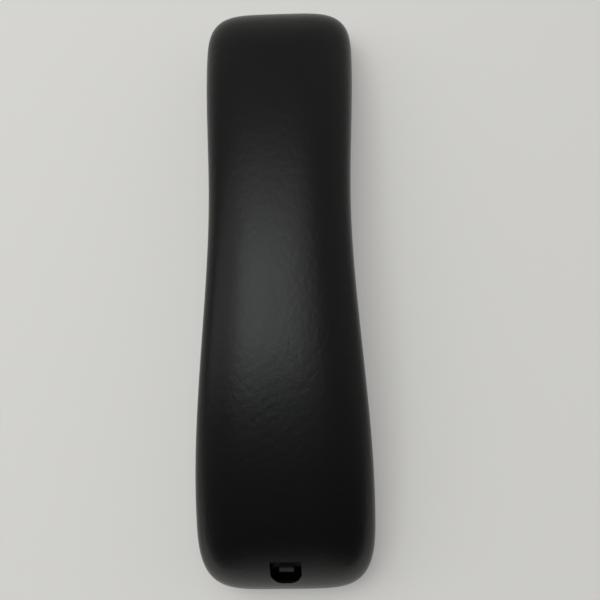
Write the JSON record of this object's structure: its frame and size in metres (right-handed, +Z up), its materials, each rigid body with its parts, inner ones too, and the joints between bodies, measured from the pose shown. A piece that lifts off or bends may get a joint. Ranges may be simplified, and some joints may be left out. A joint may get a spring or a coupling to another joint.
{
  "type": "telephone handset",
  "caption": "Desk telephone handset, lying face down: an arched grip between an ear face and a wider mouth face, with a cord jack in the mouth end.",
  "frame": {"origin": "bottom centre of the bounding box, on the plane of the ear and mouth faces", "axes": "+Y runs lengthwise towards the ear end, +Z up through the back, +X across"},
  "size_m": [0.0604, 0.205, 0.044],
  "materials": {
    "cover_plastic": "fine moulded texture, satin black",
    "jack_plastic": "smooth moulded black",
    "inner_plastic": "smooth moulded dark grey",
    "plain_steel": "zinc-plated",
    "magnet_nickel": "nickel-plated",
    "copper_winding": "enamelled copper wire",
    "gold_contact": "gold-plated spring wire",
    "capsule_shell": "drawn aluminium can",
    "board_laminate": "green board laminate",
    "chip_ceramic": "fired ceramic",
    "boot_rubber": "soft black rubber",
    "foam": "closed-cell foam",
    "acoustic_cloth": "thin woven cloth",
    "diaphragm_film": "thin formed film",
    "lead_red": "insulated stranded wire",
    "lead_black": "insulated stranded wire",
    "lead_white": "insulated stranded wire",
    "lead_green": "insulated stranded wire"
  },
  "bodies": {
    "root": {"ballast_bar": "plain_steel", "ballast_pad": "foam", "ballast_screw_ear": "plain_steel", "ballast_screw_mouth": "plain_steel", "board_capacitor_1": "chip_ceramic", "board_capacitor_2": "chip_ceramic", "board_screw": "plain_steel", "cover_screw_ear": "plain_steel", "cover_screw_mouth": "plain_steel", "ear_cloth": "acoustic_cloth", "front_cover": "cover_plastic", "jack_board": "board_laminate", "jack_contact_1": "gold_contact", "jack_contact_2": "gold_contact", "jack_contact_3": "gold_contact", "jack_contact_4": "gold_contact", "jack_housing": "jack_plastic", "microphone_board": "board_laminate", "microphone_boot": "boot_rubber", "microphone_capsule": "capsule_shell", "microphone_cloth": "acoustic_cloth", "microphone_lead_green": "lead_green", "microphone_lead_white": "lead_white", "rear_cover": "cover_plastic", "receiver_basket": "inner_plastic", "receiver_cap": "inner_plastic", "receiver_diaphragm": "diaphragm_film", "receiver_gasket": "foam", "receiver_lead_black": "lead_black", "receiver_lead_red": "lead_red", "receiver_magnet": "magnet_nickel", "receiver_pole_plate": "plain_steel", "receiver_retainer": "plain_steel", "receiver_terminal_board": "board_laminate", "receiver_voice_coil": "copper_winding", "receiver_yoke": "plain_steel", "retainer_screw_1": "plain_steel", "retainer_screw_2": "plain_steel"}
  },
  "joints": []
}
